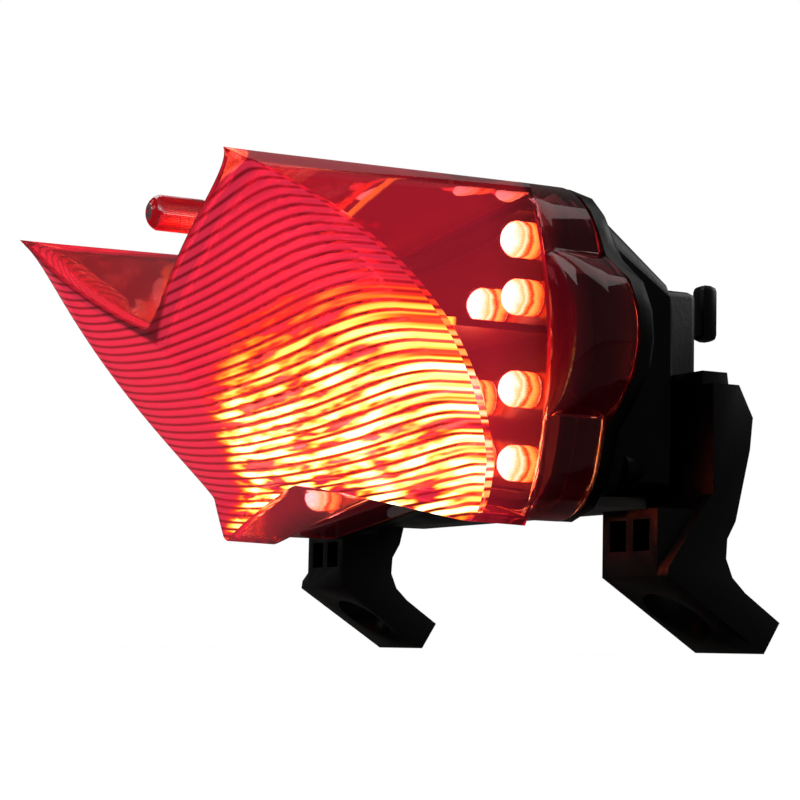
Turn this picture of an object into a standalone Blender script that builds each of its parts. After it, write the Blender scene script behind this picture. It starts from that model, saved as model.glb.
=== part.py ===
"""LED tail light for a motorcycle: a red lens on a black housing with two mounting legs.

Frame: X across the bike, Y towards the front of the bike, Z up, in metres. The lens shines towards -Y.
The origin is under the middle of the lamp, level with the lowest edge of the two foot soles.
"""
import math

import bmesh
import bpy
from mathutils import Matrix, Vector

MM = 0.001
GAP = 0.35 * MM

# Overall depth, from the tips of the two lens horns to the front lugs.
DEPTH = 104.0 * MM
REAR = -DEPTH / 2

# Lens: a red shell, open at the front, with a V notch in its top.
LENS_WALL = 2.2 * MM
LENS_RAKE_WALL = 3.0 * MM
HORN_HEIGHT = 82.6 * MM
HORN_HALF_WIDTH = 52.8 * MM
DECK_RISE = 0.5 * MM
NOTCH_HEIGHT = 58.0 * MM
CREASE_FRONT_HEIGHT = 78.0 * MM
CREASE_REAR = REAR + 8.5 * MM
BELLY_HALF_WIDTH = 60.5 * MM
BELLY_HEIGHT = 52.0 * MM
FLOOR_RIDGE_REAR = 31.4 * MM
FLOOR_RIDGE_FRONT = 30.0 * MM
FLOOR_EDGE_REAR = 22.9 * MM
FLOOR_EDGE_FRONT = 21.4 * MM
V_ROUNDING = 0.06
FLUTE_FOOT_HEIGHT = 31.0 * MM

# The rear face of the lens is a parabola in side view, bowed across, with its corners swept forward.
BOW = 0.125
RAKE_SLOPE = 0.411
RAKE_CURVE = 9.46
FOOT_SLOPE = 0.12
CORNER_SWEEP = 19.0 * MM
CORNER_FOOT_SWEEP = 3.0 * MM
CORNER_SHARPNESS = 3.2

# Skirt: the front end of the lens steps out round the housing and bulges at each side.
SKIRT_REAR = REAR + 61.0 * MM
SKIRT_FRONT = REAR + 72.0 * MM
SKIRT_STEP = 1.6 * MM
SKIRT_TOP_STEP = 2.6 * MM
SKIRT_FOOT_RIDGE = 28.3 * MM
SKIRT_FOOT_EDGE = 22.0 * MM
SKIRT_TOP_RADIUS = 12.0 * MM
SKIRT_FOOT_RADIUS = 10.0 * MM
SKIRT_WALL = 2.0 * MM
LOBE_REACH = 9.6 * MM
LOBE_HEIGHT = 55.5 * MM
LOBE_HALF_HEIGHT = 14.5 * MM
PEG_RADIUS = 2.7 * MM
PEG_REAR = REAR + 8.8 * MM
PEG_HEIGHT = 80.6 * MM
PEG_LENGTH = 13.0 * MM
FIN_SETBACK = 9.0 * MM
FIN_PROUD = 1.2 * MM
FIN_THICKNESS = 2.4 * MM

# Housing: a black tub that plugs into the skirt, with a narrower well in front.
SEAL_THICKNESS = 1.0 * MM
PLUG_WALL = 1.6 * MM
PLUG_REAR = REAR + 64.5 * MM
RIM_REAR = SKIRT_FRONT + GAP
RIM_FRONT = REAR + 75.6 * MM
TUB_REAR = REAR + 76.6 * MM
TUB_FRONT = REAR + 86.3 * MM
TUB_HALF_WIDTH = 62.0 * MM
TUB_FLOOR = 26.0 * MM
TUB_TOP = 67.0 * MM
TUB_RADIUS = 5.0 * MM
HOUSING_WALL = 2.2 * MM
WELL_HALF_WIDTH = 51.9 * MM
WELL_FRONT = REAR + 98.0 * MM
LUG_FRONT = REAR + DEPTH
LUG_SIZE = (4.2 * MM, 3.6 * MM, 10.6 * MM)
LUG_PLACE = (48.3 * MM, 63.3 * MM)
INLET_RADIUS = 5.0 * MM
INLET_HEIGHT = 40.0 * MM

# Legs: an E-shaped section, open to the rear, over a slanted foot.
LEG_INNER = 52.3 * MM
LEG_OUTER = 72.9 * MM
LEG_RIB_FACE = 69.6 * MM
CHEEK = 2.4 * MM
FOOT_HOLE_RADIUS = 6.8 * MM
SOLE_REAR = (REAR + 77.4 * MM, 13.0 * MM)
SOLE_FRONT = (REAR + 97.7 * MM, 0.0)
LEG_SCREWS = ((56.3 * MM, 43.1 * MM), (56.3 * MM, 32.3 * MM))

# Light unit: a carrier plate with a reflector shelf, a circuit board and the LEDs.
CARRIER_REAR = REAR + 69.2 * MM
CARRIER_THICKNESS = 2.0 * MM
SHELF_REAR = REAR + 48.7 * MM
SHELF_HEIGHT = 58.5 * MM
SHELF_HALF_WIDTH = 45.0 * MM
SHELF_THICKNESS = 1.4 * MM
BOARD_REAR = REAR + 71.6 * MM
BOARD_THICKNESS = 1.6 * MM
LED_RADIUS = 2.5 * MM
LED_RIM_RADIUS = 2.9 * MM
LED_LENGTH = 8.7 * MM
LED_PLACES = (
    (40.0 * MM, 74.6 * MM),
    (28.0 * MM, 64.0 * MM),
    (40.5 * MM, 64.0 * MM),
    (8.0 * MM, 47.4 * MM),
    (24.0 * MM, 47.4 * MM),
    (40.0 * MM, 47.4 * MM),
    (8.0 * MM, 38.2 * MM),
    (24.0 * MM, 36.2 * MM),
    (40.0 * MM, 34.0 * MM),
)
BOARD_SCREWS = ((50.0 * MM, 54.5 * MM), (16.0 * MM, 42.0 * MM))
SCREW_SHANK = 1.35 * MM
SCREW_HEAD = 2.7 * MM
RESISTOR_PLACES = (
    (-32.0 * MM, 41.0 * MM),
    (0.0, 41.0 * MM),
    (32.0 * MM, 41.0 * MM),
    (-20.0 * MM, 55.0 * MM),
    (20.0 * MM, 55.0 * MM),
)
RESISTOR_SIZE = (1.2 * MM, 6.4 * MM)

SIDES = 12


def clear_scene():
    for obj in list(bpy.data.objects):
        bpy.data.objects.remove(obj, do_unlink=True)


def collection(name, helper=False):
    made = bpy.data.collections.new(name)
    bpy.context.scene.collection.children.link(made)
    made.hide_render = helper
    return made


def material(name, colour, roughness, metallic=0.0, transmission=0.0, glow=0.0):
    made = bpy.data.materials.new(name)
    made.use_nodes = True
    shader = made.node_tree.nodes["Principled BSDF"]
    shader.inputs["Base Color"].default_value = (*colour, 1.0)
    shader.inputs["Roughness"].default_value = roughness
    shader.inputs["Metallic"].default_value = metallic
    shader.inputs["Transmission Weight"].default_value = transmission
    shader.inputs["Emission Color"].default_value = (*colour, 1.0)
    shader.inputs["Emission Strength"].default_value = glow
    return made


def link(name, mesh, made_of):
    obj = bpy.data.objects.new(name, mesh)
    PARTS.objects.link(obj)
    mesh.materials.clear()
    mesh.materials.append(made_of)
    return obj


def mesh_from(name, bm):
    mesh = bpy.data.meshes.new(name)
    bm.to_mesh(mesh)
    bm.free()
    return mesh


def cutter(name, mesh):
    obj = bpy.data.objects.new(name, mesh)
    HELPERS.objects.link(obj)
    obj.hide_render = True
    obj.display_type = "WIRE"
    return obj


def combine(obj, helper, operation):
    modifier = obj.modifiers.new(helper.name, "BOOLEAN")
    modifier.object = helper
    modifier.operation = operation
    modifier.solver = "EXACT"


def box_mesh(name, low, high, bevel=0.0):
    """A box between two corners, its edges rounded when a bevel is given."""
    bm = bmesh.new()
    size = [b - a for a, b in zip(low, high)]
    middle = [(a + b) / 2 for a, b in zip(low, high)]
    matrix = Matrix.Translation(middle) @ Matrix.Diagonal((*size, 1.0))
    bmesh.ops.create_cube(bm, size=1.0, matrix=matrix)
    if bevel:
        bmesh.ops.bevel(bm, geom=bm.edges[:], offset=bevel, segments=2, profile=0.5, affect="EDGES")
    return mesh_from(name, bm)


def rod_mesh(name, start, end, radius, end_radius=None, sides=SIDES):
    """A round rod or cone between two points."""
    start, end = Vector(start), Vector(end)
    along = end - start
    turn = Vector((0, 0, 1)).rotation_difference(along).to_matrix().to_4x4()
    bm = bmesh.new()
    bmesh.ops.create_cone(
        bm,
        cap_ends=True,
        segments=sides,
        radius1=radius,
        radius2=radius if end_radius is None else end_radius,
        depth=along.length,
        matrix=Matrix.Translation((start + end) / 2) @ turn,
    )
    return mesh_from(name, bm)


def slab_mesh(name, outline, low_x, high_x):
    """A flat outline of (y, z) corners, given thickness along X."""
    bm = bmesh.new()
    face = bm.faces.new([bm.verts.new((low_x, y, z)) for y, z in outline])
    pushed = bmesh.ops.extrude_face_region(bm, geom=[face])
    moved = [item for item in pushed["geom"] if isinstance(item, bmesh.types.BMVert)]
    bmesh.ops.translate(bm, verts=moved, vec=(high_x - low_x, 0, 0))
    bmesh.ops.recalc_face_normals(bm, faces=bm.faces[:])
    return mesh_from(name, bm)


def turned(name, profile, place, made_of, sides=SIDES):
    """A turned piece whose axis runs along Y: profile is (radius, distance towards the rear)."""
    mesh = bpy.data.meshes.new(name)
    points = [(radius, 0.0, height) for radius, height in profile]
    mesh.from_pydata(points, [(i, i + 1) for i in range(len(points) - 1)], [])
    obj = link(name, mesh, made_of)
    screw = obj.modifiers.new("turn", "SCREW")
    screw.steps = screw.render_steps = sides
    screw.use_merge_vertices = True
    screw.merge_threshold = 0.00001
    obj.rotation_euler = (math.pi / 2, 0, 0)
    obj.location = place
    return obj


# The lens surfaces, as heights and depths that the lens, its skirt and the housing share.

def side_width(z):
    """Half the width of the lens at a height: a shallow barrel, narrowest at the horns."""
    swell = BELLY_HALF_WIDTH - HORN_HALF_WIDTH
    return BELLY_HALF_WIDTH - swell * ((z - BELLY_HEIGHT) / (HORN_HEIGHT - BELLY_HEIGHT)) ** 2


def v_shape(u):
    """0 on the centre line, 1 at the sides, with a rounded bottom."""
    return (math.hypot(u, V_ROUNDING) - V_ROUNDING) / (math.hypot(1.0, V_ROUNDING) - V_ROUNDING)


def blend(low, high, run):
    return low + (high - low) * min(max(run, 0.0), 1.0)


def deck_height(u, y):
    """The top of the lens at u of its half width: a V whose floor rises towards the front."""
    run = (y - CREASE_REAR) / (SKIRT_REAR - CREASE_REAR)
    crease = blend(NOTCH_HEIGHT, CREASE_FRONT_HEIGHT, run)
    edge = blend(HORN_HEIGHT, HORN_HEIGHT + DECK_RISE, run)
    return blend(crease, edge, v_shape(u))


def floor_height(u, y):
    """The underside of the lens: a shallow roof with its ridge along the middle."""
    run = (y - CREASE_REAR) / (SKIRT_REAR - CREASE_REAR)
    ridge = blend(FLOOR_RIDGE_REAR, FLOOR_RIDGE_FRONT, run)
    edge = blend(FLOOR_EDGE_REAR, FLOOR_EDGE_FRONT, run)
    return blend(ridge, edge, v_shape(u))


def corner_depth(z):
    """How far the side corner of the rear face is swept forward, by height."""
    drop = min(max((HORN_HEIGHT - z) / (HORN_HEIGHT - FLUTE_FOOT_HEIGHT), 0.0), 1.0)
    return CORNER_SWEEP * math.sin(math.pi * drop**0.85) ** 0.9 + CORNER_FOOT_SWEEP * drop


def rear_depth(u, z):
    """The raked rear face: bowed across, steeper at the top, upright below the flutes."""
    fall = HORN_HEIGHT - max(z, FLUTE_FOOT_HEIGHT)
    middle = REAR - BOW * HORN_HALF_WIDTH + RAKE_SLOPE * fall + RAKE_CURVE * fall**2
    below = max(FLUTE_FOOT_HEIGHT - z, 0.0)
    swept = 1 - (1 - min(abs(u), 1.0) ** CORNER_SHARPNESS) ** (1 / CORNER_SHARPNESS)
    return middle + FOOT_SLOPE * below + BOW * abs(u) * HORN_HALF_WIDTH + corner_depth(z) * swept


def lobe(z):
    """The bulge of the skirt on each side."""
    across = (z - LOBE_HEIGHT) / LOBE_HALF_HEIGHT
    return LOBE_REACH * max(1 - abs(across) ** 2.4, 0.0) ** 0.75


def rounded(u, w, half_width, half_height, radius):
    """Moves a point on the border of the square from -1 to 1 onto a rectangle with round corners."""
    from_side, from_top = (1 - abs(u)) * half_width, (1 - abs(w)) * half_height
    if max(from_side, from_top) >= radius:
        return u, w
    turn = math.pi / 4 * (1 + (from_side - from_top) / radius)
    u = math.copysign(1 - radius * (1 - math.cos(turn)) / half_width, u)
    w = math.copysign(1 - radius * (1 - math.sin(turn)) / half_height, w)
    return u, w


def rim_point(u, w, inset, with_lobe):
    """A point on the skirt's outline, u and w running from -1 to 1 across and up, moved inwards by inset."""
    radius = SKIRT_TOP_RADIUS if w > 0 else SKIRT_FOOT_RADIUS
    half_height = (HORN_HEIGHT - SKIRT_FOOT_EDGE) / 2
    u, w = rounded(u, w, BELLY_HALF_WIDTH, half_height, radius - inset * 0.6)
    low = blend(SKIRT_FOOT_RIDGE, SKIRT_FOOT_EDGE, v_shape(u)) + inset
    high = deck_height(u, SKIRT_REAR) + SKIRT_TOP_STEP - inset
    z = low + (high - low) * (w + 1) / 2
    width = side_width(z) + SKIRT_STEP + (lobe(z) if with_lobe else 0.0) - inset
    return u * width, z


def tub_point(u, w, inset):
    """A point on the front outline of the housing's tub."""
    u, w = rounded(u, w, TUB_HALF_WIDTH, (TUB_TOP - TUB_FLOOR) / 2, TUB_RADIUS)
    low, high = TUB_FLOOR + inset, TUB_TOP - inset
    return u * (TUB_HALF_WIDTH - inset), low + (high - low) * (w + 1) / 2


def square_border(count):
    """Points round a square from -1 to 1, count to a side."""
    steps = [-1 + 2 * i / count for i in range(count)]
    return (
        [(t, -1.0) for t in steps]
        + [(1.0, t) for t in steps]
        + [(-t, 1.0) for t in steps]
        + [(-1.0, -t) for t in steps]
    )


def ring_solid(name, rings):
    """A closed body through rings of points, its first and last ring capped."""
    bm = bmesh.new()
    rows = [[bm.verts.new(point) for point in ring] for ring in rings]
    for low, high in zip(rows, rows[1:]):
        for i in range(len(low)):
            j = (i + 1) % len(low)
            bm.faces.new((low[i], low[j], high[j], high[i]))
    for row in (rows[0], rows[-1]):
        middle = bm.verts.new(sum((vert.co for vert in row), Vector()) / len(row))
        for i in range(len(row)):
            bm.faces.new((row[i], row[(i + 1) % len(row)], middle))
    bmesh.ops.recalc_face_normals(bm, faces=bm.faces[:])
    return mesh_from(name, bm)


def loop_solid(name, rings):
    """A closed ring-shaped body through rings of points, the last joined to the first."""
    bm = bmesh.new()
    rows = [[bm.verts.new(point) for point in ring] for ring in rings]
    for low, high in zip(rows, rows[1:] + rows[:1]):
        for i in range(len(low)):
            j = (i + 1) % len(low)
            bm.faces.new((low[i], low[j], high[j], high[i]))
    bmesh.ops.recalc_face_normals(bm, faces=bm.faces[:])
    return mesh_from(name, bm)


def cup_point(u, v, w, wall, rake_wall):
    """A point of the lens body: v runs from 0 at the rear face to 1 at the skirt."""
    y = REAR + 30 * MM
    for _ in range(6):
        low, high = floor_height(u, y) + wall, deck_height(u, y) - wall
        z = low + (high - low) * (w + 1) / 2
        rear = rear_depth(u, z) + rake_wall
        y = rear + (SKIRT_REAR - rear) * v
    return (u * (side_width(z) - wall), y, z)


def lens_cup(bm, wall, rake_wall, step, skirt_wall, across=14, up=12, along=7):
    """One wall surface of the lens as a box of quads, open at the front, and its front ring."""
    grid = {}

    def vert(i, j, k):
        if (i, j, k) not in grid:
            u, w = -1 + 2 * i / across, -1 + 2 * k / up
            grid[i, j, k] = bm.verts.new(cup_point(u, j / along, w, wall, rake_wall))
        return grid[i, j, k]

    for i in range(across):
        for k in range(up):
            corners = (i, k), (i + 1, k), (i + 1, k + 1), (i, k + 1)
            bm.faces.new([vert(a, 0, b) for a, b in corners])
    border = (
        [(i, 0) for i in range(across)]
        + [(across, k) for k in range(up)]
        + [(i, up) for i in range(across, 0, -1)]
        + [(0, k) for k in range(up, 0, -1)]
    )
    rows = [[vert(i, j, k) for i, k in border] for j in range(along + 1)]
    for y in (SKIRT_REAR + step, SKIRT_FRONT):
        row = []
        for i, k in border:
            x, z = rim_point(-1 + 2 * i / across, -1 + 2 * k / up, skirt_wall, True)
            row.append(bm.verts.new((x, y, z)))
        rows.append(row)
    for low, high in zip(rows, rows[1:]):
        for n in range(len(border)):
            m = (n + 1) % len(border)
            bm.faces.new((low[n], low[m], high[m], high[n]))
    return rows[-1]


def make_lens():
    """The red shell: outer and inner walls joined at the front edge, with the locating peg on its fin."""
    bm = bmesh.new()
    outer = lens_cup(bm, 0.0, 0.0, 1.2 * MM, 0.0)
    inner = lens_cup(bm, LENS_WALL, LENS_RAKE_WALL, 3.2 * MM, SKIRT_WALL)
    for n in range(len(outer)):
        m = (n + 1) % len(outer)
        bm.faces.new((outer[n], outer[m], inner[m], inner[n]))
    bmesh.ops.recalc_face_normals(bm, faces=bm.faces[:])
    lens = link("lens", mesh_from("lens", bm), RED_LENS)
    fin = (
        (PEG_REAR + FIN_SETBACK, PEG_HEIGHT + FIN_PROUD),
        (SKIRT_REAR + 1.8 * MM, PEG_HEIGHT + FIN_PROUD),
        (SKIRT_REAR + 1.8 * MM, CREASE_FRONT_HEIGHT - 0.9 * MM),
        (PEG_REAR + FIN_SETBACK, NOTCH_HEIGHT + 1.6 * MM),
    )
    fin = slab_mesh("lens_fin", fin, -FIN_THICKNESS / 2, FIN_THICKNESS / 2)
    combine(lens, cutter("lens_fin", fin), "UNION")
    ends = (0, PEG_REAR, PEG_HEIGHT), (0, PEG_REAR + PEG_LENGTH, PEG_HEIGHT)
    peg = rod_mesh("lens_peg", *ends, PEG_RADIUS, PEG_RADIUS * 1.1, 16)
    bm = bmesh.new()
    bm.from_mesh(peg)
    tip = [edge for edge in bm.edges if all(vert.co.y < PEG_REAR + 0.1 * MM for vert in edge.verts)]
    bmesh.ops.bevel(bm, geom=tip, offset=2.0 * MM, segments=3, profile=0.5, affect="EDGES")
    combine(lens, cutter("lens_peg", mesh_from("lens_peg", bm)), "UNION")
    return lens


def make_seal():
    """The rubber ring squeezed between the skirt of the lens and the plug of the housing."""
    near, far = SKIRT_WALL + GAP, SKIRT_WALL + GAP + SEAL_THICKNESS
    back, front = SKIRT_FRONT - 4.5 * MM, SKIRT_FRONT
    corners = ((near, back), (near, front), (far, front), (far, back))
    rings = []
    for inset, y in corners:
        outline = [rim_point(u, w, inset, False) for u, w in square_border(12)]
        rings.append([(x, y, z) for x, z in outline])
    link("lens_seal", loop_solid("lens_seal", rings), SEAL_RUBBER)


def housing_rings():
    """The tub from its inner front face, round the plug and the rim, to its outer front face."""
    plug = SKIRT_WALL + 2 * GAP + SEAL_THICKNESS
    border = square_border(12)

    def rim(inset, y, with_lobe=False):
        return [(x, y, z) for x, z in (rim_point(u, w, inset, with_lobe) for u, w in border)]

    def tub(inset, y):
        return [(x, y, z) for x, z in (tub_point(u, w, inset) for u, w in border)]

    return (
        tub(HOUSING_WALL, TUB_FRONT - HOUSING_WALL),
        rim(plug + PLUG_WALL, TUB_REAR),
        rim(plug + PLUG_WALL, PLUG_REAR),
        rim(plug, PLUG_REAR),
        rim(plug, RIM_REAR),
        rim(0.0, RIM_REAR, True),
        rim(0.0, RIM_FRONT - 0.8 * MM, True),
        rim(0.8 * MM, RIM_FRONT, True),
        rim(3.0 * MM, TUB_REAR),
        tub(0.0, TUB_FRONT - 1.2 * MM),
        tub(1.2 * MM, TUB_FRONT),
    )


def add_well(housing):
    """The narrow well in front of the tub, opened into it."""
    low = (-WELL_HALF_WIDTH, TUB_FRONT - 1.6 * MM, TUB_FLOOR + 0.4 * MM)
    high = (WELL_HALF_WIDTH, WELL_FRONT, TUB_TOP - 0.4 * MM)
    combine(housing, cutter("well", box_mesh("well", low, high, 1.4 * MM)), "UNION")
    low = (-WELL_HALF_WIDTH + HOUSING_WALL, TUB_FRONT - 4.0 * MM, TUB_FLOOR + 2.8 * MM)
    high = (WELL_HALF_WIDTH - HOUSING_WALL, WELL_FRONT - HOUSING_WALL, TUB_TOP - 2.8 * MM)
    combine(housing, cutter("well_hollow", box_mesh("well_hollow", low, high)), "DIFFERENCE")
    ends = (0, WELL_FRONT - 6 * MM, INLET_HEIGHT), (0, WELL_FRONT + 2 * MM, INLET_HEIGHT)
    hole = rod_mesh("inlet_hole", *ends, INLET_RADIUS, sides=20)
    combine(housing, cutter("inlet_hole", hole), "DIFFERENCE")


def add_lugs(housing):
    """An upright lug on a short neck at each side of the well's front wall."""
    width, thickness, height = LUG_SIZE
    x, z = LUG_PLACE
    for side in (-1, 1):
        low = (side * x - width / 2, LUG_FRONT - thickness, z - height / 2)
        high = (side * x + width / 2, LUG_FRONT, z + height / 2)
        combine(housing, cutter(f"lug_{side}", box_mesh("lug", low, high, 1.2 * MM)), "UNION")
        low = (side * x - width * 0.32, WELL_FRONT - 1.0 * MM, z - 4.3 * MM)
        high = (side * x + width * 0.32, LUG_FRONT - thickness / 2, z + 0.2 * MM)
        combine(housing, cutter(f"lug_neck_{side}", box_mesh("lug_neck", low, high)), "UNION")


def add_bosses(housing):
    """Screw bosses behind the board and behind the legs, each with its pilot hole."""
    board_front = BOARD_REAR + BOARD_THICKNESS + GAP
    for side in (-1, 1):
        rods = []
        for x, z in BOARD_SCREWS:
            wall = TUB_FRONT if x > 40 * MM else WELL_FRONT
            start = board_front
            rods.append((side * x, z, start, wall - 1 * MM, start - 1 * MM, start + 8 * MM))
        for x, z in LEG_SCREWS:
            end = TUB_FRONT - 1 * MM
            rods.append((side * x, z, end - 7 * MM, end, end - 6 * MM, end + 2 * MM))
        for x, z, start, end, hole_start, hole_end in rods:
            name = f"boss_{side}_{1000 * abs(x):.0f}_{1000 * z:.0f}"
            combine(housing, cutter(name, rod_mesh(name, (x, start, z), (x, end, z), 3.0 * MM)), "UNION")
            hole = rod_mesh(name, (x, hole_start, z), (x, hole_end, z), SCREW_SHANK + 0.3 * MM)
            combine(housing, cutter(name + "_hole", hole), "DIFFERENCE")


def make_housing():
    housing = link("housing", ring_solid("housing", housing_rings()), BLACK_ABS)
    add_well(housing)
    add_lugs(housing)
    add_bosses(housing)


def make_inlet():
    """The rubber bush that closes the wire hole in the front wall."""
    reach = INLET_RADIUS - 0.3 * MM
    flange = INLET_RADIUS + 1.6 * MM
    inner_end = -HOUSING_WALL - 1.0 * MM
    points = [
        (0.0, 3.2 * MM),
        (2.4 * MM, 3.2 * MM),
        (flange, 2.0 * MM),
        (flange, 0.3 * MM),
        (reach, 0.3 * MM),
        (reach, inner_end),
        (0.0, inner_end),
    ]
    place = (0, WELL_FRONT, INLET_HEIGHT)
    bush = turned("wire_inlet_bush", points, place, SEAL_RUBBER, 20)
    bush.rotation_euler = (-math.pi / 2, 0, 0)


def leg_profile():
    """The side view of a leg as (y, z): top pad, front edge with its waist, foot, slot under the housing."""
    waist = [
        (REAR + (100.4 - 10.9 * math.cos(turn)) * MM, (17.6 + 9.0 * math.sin(turn)) * MM)
        for turn in (math.radians(degrees) for degrees in (-52, -30, -8, 14, 36))
    ]
    return [
        (REAR + 77.4 * MM, 24.8 * MM),
        SOLE_REAR,
        SOLE_FRONT,
        (REAR + 101.1 * MM, 5.5 * MM),
        *waist,
        (REAR + 94.6 * MM, 35.6 * MM),
        (REAR + 95.2 * MM, 41.3 * MM),
        (REAR + 92.4 * MM, 46.7 * MM),
        (REAR + 92.0 * MM, 49.4 * MM),
        (REAR + 86.7 * MM, 49.4 * MM),
        (REAR + 86.7 * MM, 24.8 * MM),
    ]


def cheek_profile():
    """The raised outer cheek: the same front edge, and a rear edge that runs diagonally to the sole."""
    front = leg_profile()[2:-4]
    return [
        (REAR + 77.6 * MM, 14.6 * MM),
        SOLE_REAR,
        *front,
        (REAR + 92.2 * MM, 46.9 * MM),
        (REAR + 86.7 * MM, 46.9 * MM),
        (REAR + 86.7 * MM, 27.5 * MM),
    ]


def make_leg(name, side):
    """One leg: ribs over a slanted foot with a round hole, and the pockets between the ribs."""
    leg = link(name, slab_mesh(name, leg_profile(), side * LEG_INNER, side * LEG_RIB_FACE), BLACK_ABS)
    cheek = slab_mesh(name + "_cheek", cheek_profile(), side * (LEG_RIB_FACE - 0.6 * MM), side * LEG_OUTER)
    combine(leg, cutter(name + "_cheek", cheek), "UNION")
    middle = (LEG_INNER + LEG_RIB_FACE) / 2
    pockets = ((LEG_INNER + CHEEK, middle - 1.1 * MM), (middle + 1.1 * MM, LEG_RIB_FACE - CHEEK))
    outline = (
        (REAR + 76.0 * MM, 23.0 * MM),
        (REAR + 76.0 * MM, 18.4 * MM),
        (REAR + 85.6 * MM, 12.2 * MM),
        (REAR + 86.4 * MM, 23.0 * MM),
    )
    for n, (inner, outer) in enumerate(pockets):
        pocket = slab_mesh(f"{name}_pocket_{n}", outline, side * inner, side * outer)
        combine(leg, cutter(f"{name}_pocket_{n}", pocket), "DIFFERENCE")
    along = Vector((0, SOLE_REAR[1] - SOLE_FRONT[1], SOLE_FRONT[0] - SOLE_REAR[0])).normalized()
    centre = Vector((side * middle, (SOLE_REAR[0] + SOLE_FRONT[0]) / 2, (SOLE_REAR[1] + SOLE_FRONT[1]) / 2))
    ends = centre - 3 * MM * along, centre + 12.5 * MM * along
    hole = rod_mesh(name + "_hole", *ends, FOOT_HOLE_RADIUS, sides=28)
    combine(leg, cutter(name + "_hole", hole), "DIFFERENCE")
    for n, (x, z) in enumerate(LEG_SCREWS):
        ends = (side * x, TUB_FRONT - 1 * MM, z), (side * x, REAR + 97 * MM, z)
        hole = rod_mesh(f"{name}_screw_hole_{n}", *ends, SCREW_SHANK + 0.3 * MM)
        combine(leg, cutter(f"{name}_screw_hole_{n}", hole), "DIFFERENCE")
        ends = (side * x, REAR + 91.0 * MM, z), (side * x, REAR + 97 * MM, z)
        seat = rod_mesh(f"{name}_screw_seat_{n}", *ends, SCREW_HEAD + 0.4 * MM)
        combine(leg, cutter(f"{name}_screw_seat_{n}", seat), "DIFFERENCE")


def make_screw(name, place, length, front_side):
    """A pan-head screw along Y, its head on the side it is driven from."""
    profile = (
        (0.0, 1.9 * MM),
        (1.7 * MM, 1.9 * MM),
        (SCREW_HEAD, 0.9 * MM),
        (SCREW_HEAD, 0.0),
        (SCREW_SHANK, 0.0),
        (SCREW_SHANK, -length + 1.2 * MM),
        (0.0, -length),
    )
    screw = turned(name, profile, place, ZINC)
    if front_side:
        screw.rotation_euler = (-math.pi / 2, 0, 0)


def make_carrier():
    """The plate that holds the LEDs square, with the reflector shelf standing out between two rows."""
    inset = SKIRT_WALL + 3 * GAP + SEAL_THICKNESS + PLUG_WALL
    border = square_border(12)
    rings = [
        [(x, y, z) for x, z in (rim_point(u, w, inset, False) for u, w in border)]
        for y in (CARRIER_REAR, CARRIER_REAR + CARRIER_THICKNESS)
    ]
    carrier = link("led_carrier", ring_solid("led_carrier", rings), WHITE_PLASTIC)
    low = (-SHELF_HALF_WIDTH, SHELF_REAR, SHELF_HEIGHT - SHELF_THICKNESS)
    high = (SHELF_HALF_WIDTH, CARRIER_REAR + 1.0 * MM, SHELF_HEIGHT)
    combine(carrier, cutter("shelf", box_mesh("shelf", low, high)), "UNION")
    for x, z in led_places():
        ends = (x, CARRIER_REAR - 1 * MM, z), (x, CARRIER_REAR + 3 * MM, z)
        hole = rod_mesh("led_hole", *ends, LED_RIM_RADIUS + 0.3 * MM, sides=16)
        combine(carrier, cutter("led_hole", hole), "DIFFERENCE")
    drill_for_screws(carrier, CARRIER_REAR, CARRIER_THICKNESS)


def drill_for_screws(obj, rear, thickness):
    for x, z in board_screw_places():
        ends = (x, rear - 1 * MM, z), (x, rear + thickness + 1 * MM, z)
        hole = rod_mesh(obj.name + "_screw_hole", *ends, SCREW_SHANK + 0.35 * MM)
        combine(obj, cutter(obj.name + "_screw_hole", hole), "DIFFERENCE")


def board_screw_places():
    return [(side * x, z) for x, z in BOARD_SCREWS for side in (-1, 1)]


def led_places():
    """Each LED as (x, z), in pairs from the top, left before right."""
    return [(side * x, z) for x, z in LED_PLACES for side in (-1, 1)]


def make_board():
    """The printed circuit board behind the carrier."""
    inset = SKIRT_WALL + 3 * GAP + SEAL_THICKNESS + PLUG_WALL + 1.4 * MM
    rings = [
        [(x, y, z) for x, z in (rim_point(u, w, inset, False) for u, w in square_border(10))]
        for y in (BOARD_REAR, BOARD_REAR + BOARD_THICKNESS)
    ]
    board = link("circuit_board", ring_solid("circuit_board", rings), GREEN_BOARD)
    drill_for_screws(board, BOARD_REAR, BOARD_THICKNESS)


def make_leds():
    """Round 5 mm LEDs: a flanged body with a domed tip, pointing to the rear."""
    base = CARRIER_REAR + CARRIER_THICKNESS
    dome = [
        (LED_RADIUS * math.sin(turn), LED_LENGTH - LED_RADIUS + LED_RADIUS * math.cos(turn))
        for turn in (math.radians(degrees) for degrees in (0, 30, 60, 90))
    ]
    profile = [*dome, (LED_RADIUS, 1.0 * MM), (LED_RIM_RADIUS, 1.0 * MM), (LED_RIM_RADIUS, 0.0), (0.0, 0.0)]
    for n, (x, z) in enumerate(led_places(), 1):
        turned(f"led_{n:02d}", profile, (x, base, z), LED_RESIN)


def make_resistors():
    """The series resistors on the front face of the board, lying across it."""
    radius, length = RESISTOR_SIZE
    y = BOARD_REAR + BOARD_THICKNESS + GAP + radius
    for n, (x, z) in enumerate(RESISTOR_PLACES, 1):
        mesh = rod_mesh(f"resistor_{n}", (x - length / 2, y, z), (x + length / 2, y, z), radius, sides=10)
        link(f"resistor_{n}", mesh, RESISTOR_BLUE)


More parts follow.
